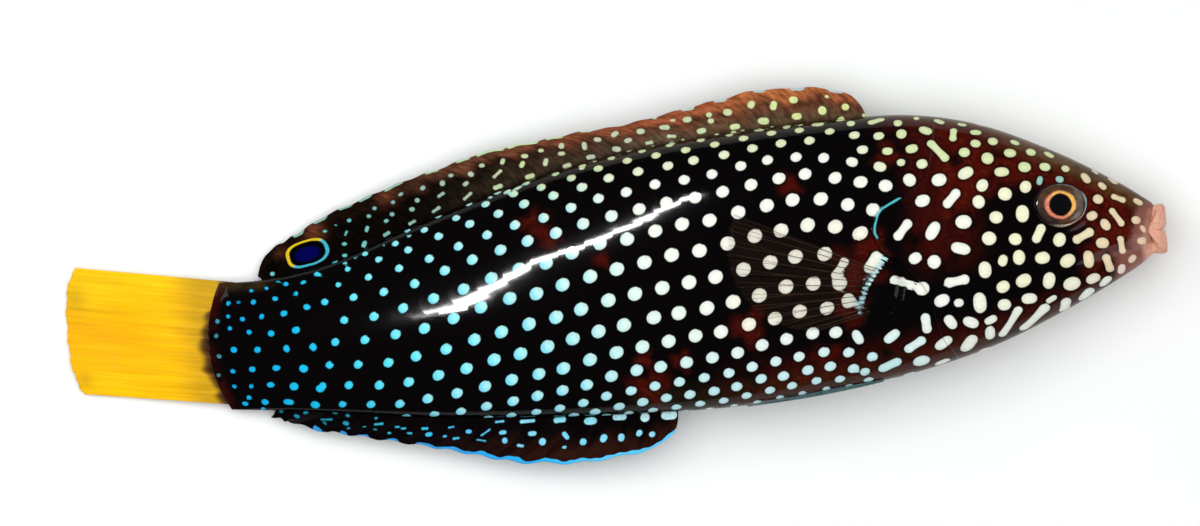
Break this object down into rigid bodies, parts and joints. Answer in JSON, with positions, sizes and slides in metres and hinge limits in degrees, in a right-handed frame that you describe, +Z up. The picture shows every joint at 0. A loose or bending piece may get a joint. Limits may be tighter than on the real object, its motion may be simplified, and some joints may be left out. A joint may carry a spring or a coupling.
{
  "type": "fish model, yellowtail tamarin wrasse",
  "caption": "Life-size still model of a female yellowtail tamarin wrasse lying on its left side, near-black with pale spots and a yellow tail fin.",
  "frame": {"origin": "on the ground plane, under the middle of the fish's length and height", "axes": "+X towards the snout, +Y towards the fish's back, +Z up, out of its right flank"},
  "size_m": [0.1045, 0.0334, 0.0125],
  "materials": {
    "skin": "wet gloss, near-black with pale spots",
    "lips": "soft gloss, salmon pink",
    "eyes": "high gloss, orange ring round a black pupil",
    "rust_fin": "wet gloss, reddish brown",
    "dark_fin": "wet gloss, near-black with a blue edge",
    "yellow_fin": "satin gloss, golden yellow",
    "clear_fins": "wet gloss, nearly clear"
  },
  "bodies": {
    "root": {"head": "skin", "torso": "skin", "tail_stalk": "skin", "upper_lip": "lips", "lower_lip": "lips", "eye_right": "eyes", "eye_left": "eyes", "dorsal_fin": "rust_fin", "anal_fin": "dark_fin", "tail_fin": "yellow_fin", "pectoral_fin_right": "clear_fins", "pectoral_fin_left": "clear_fins", "pelvic_fin_right": "clear_fins", "pelvic_fin_left": "clear_fins"}
  },
  "joints": []
}
